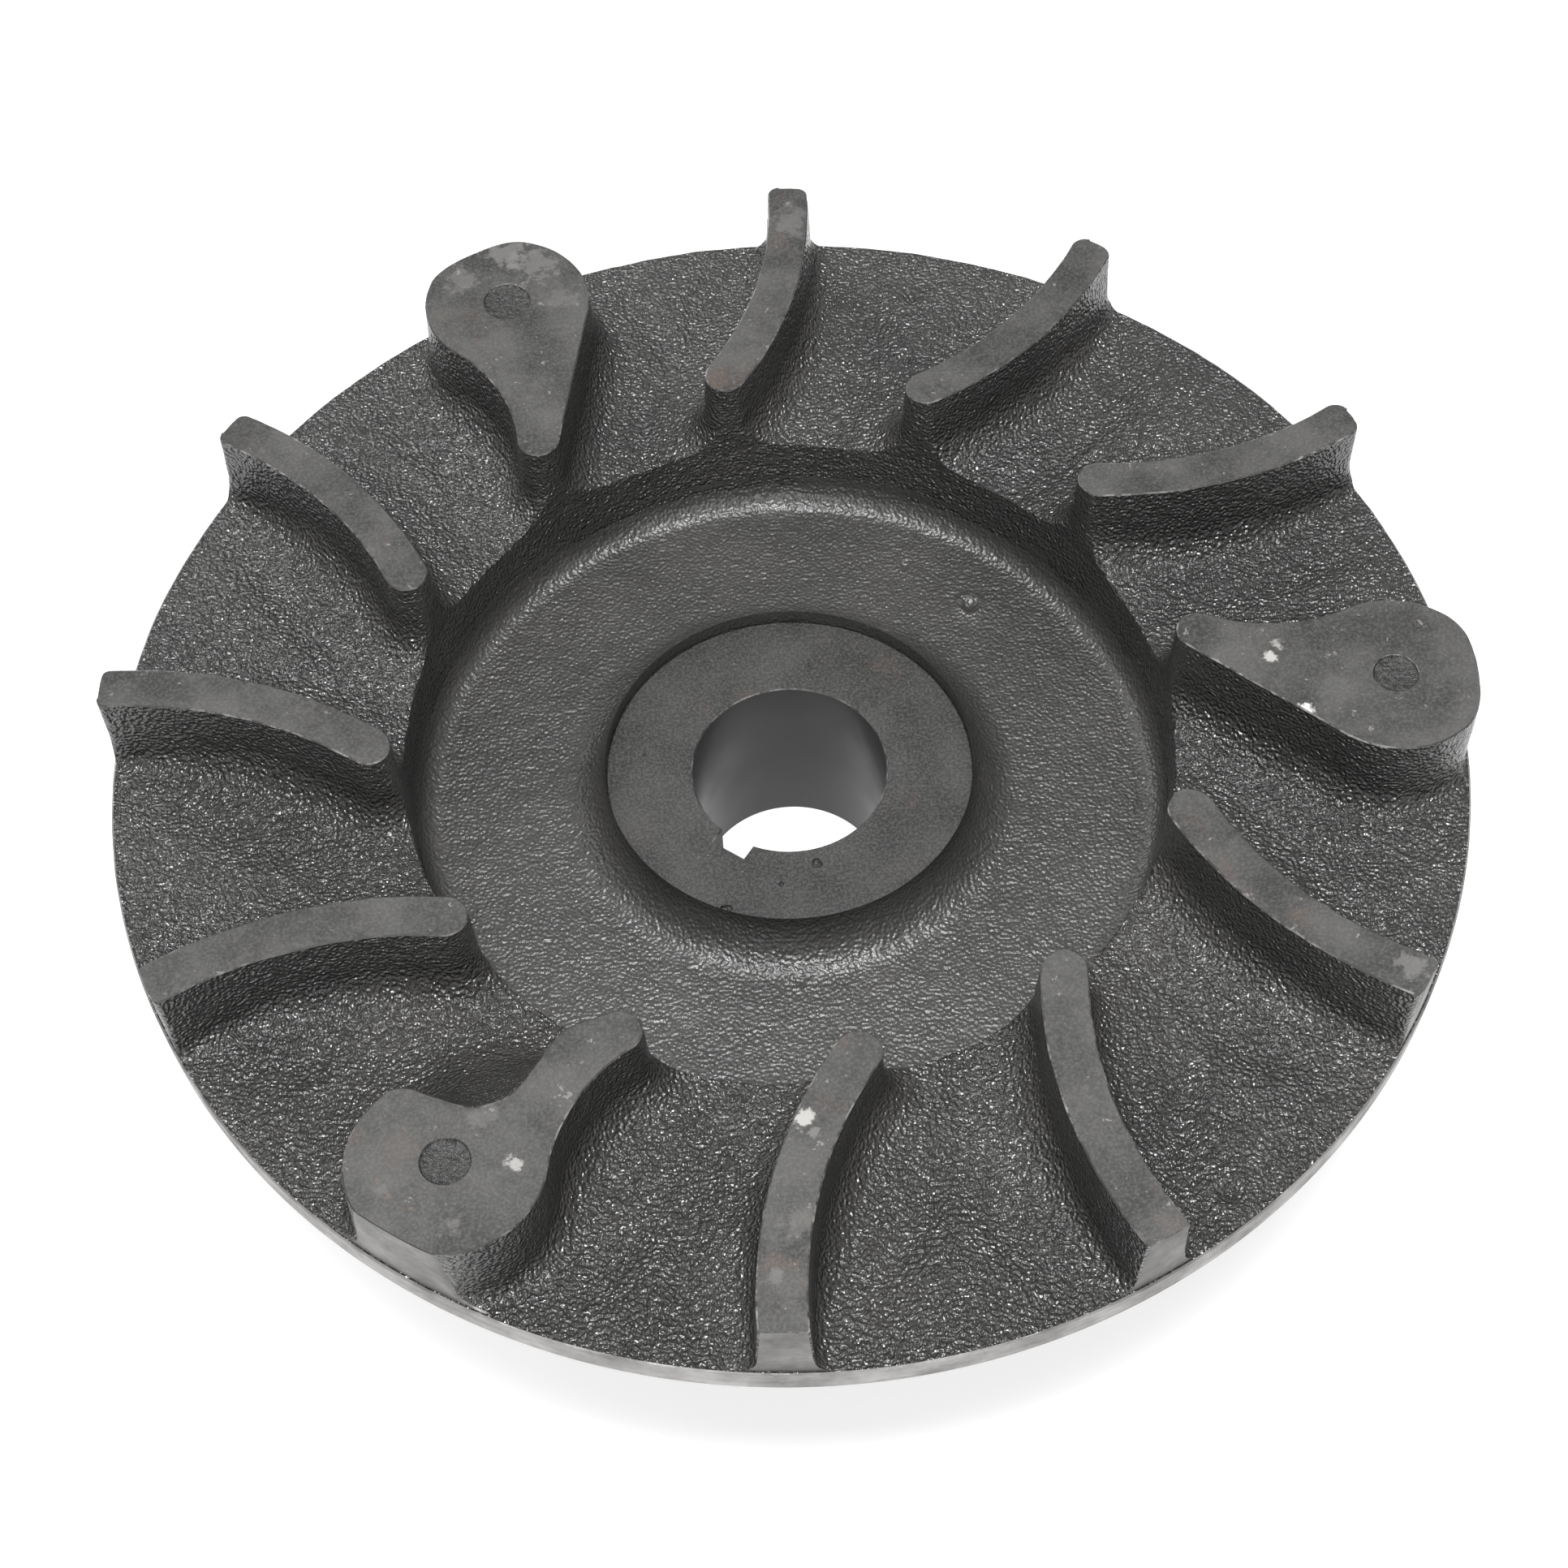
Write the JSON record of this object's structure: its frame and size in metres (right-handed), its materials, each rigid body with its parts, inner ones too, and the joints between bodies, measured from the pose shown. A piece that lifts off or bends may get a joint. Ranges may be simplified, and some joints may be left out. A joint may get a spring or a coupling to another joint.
{
  "type": "flywheel",
  "caption": "Cast-iron engine flywheel: a dished disc with curved cooling vanes, flat-topped round bosses, a keyed hub in a recess, and a magneto ring beneath.",
  "frame": {"origin": "centre of the bore on the hub's engine-side face, which is the lowest face", "axes": "+Z along the crankshaft, away from the engine, towards the vanes; the keyway points 236 degrees anticlockwise from +X"},
  "size_m": [0.1714, 0.1714, 0.0499],
  "materials": {
    "cast_black_iron": "sand-cast grain under thin satin black paint, with the vane and boss tops turned flat",
    "turned_black_iron": "turned flat, matt blackened",
    "bare_turned_iron": "bare turned iron with fine tool marks",
    "magnet_alloy": "ground cast magnet alloy",
    "pole_steel": "laminated steel, edges ground",
    "screw_steel": "zinc-plated steel"
  },
  "bodies": {
    "root": {"hub": "turned_black_iron", "web": "cast_black_iron", "magnet_ring": "cast_black_iron", "deck": "cast_black_iron", "rim": "bare_turned_iron", "vane_1": "cast_black_iron", "vane_2": "cast_black_iron", "vane_3": "cast_black_iron", "vane_4": "cast_black_iron", "vane_5": "cast_black_iron", "vane_6": "cast_black_iron", "vane_7": "cast_black_iron", "vane_8": "cast_black_iron", "vane_9": "cast_black_iron", "vane_10": "cast_black_iron", "vane_11": "cast_black_iron", "vane_12": "cast_black_iron", "boss_1": "cast_black_iron", "boss_2": "cast_black_iron", "boss_3": "cast_black_iron", "magnet": "magnet_alloy", "pole_shoe_1": "pole_steel", "pole_shoe_2": "pole_steel", "magnet_screws": "screw_steel"}
  },
  "joints": []
}
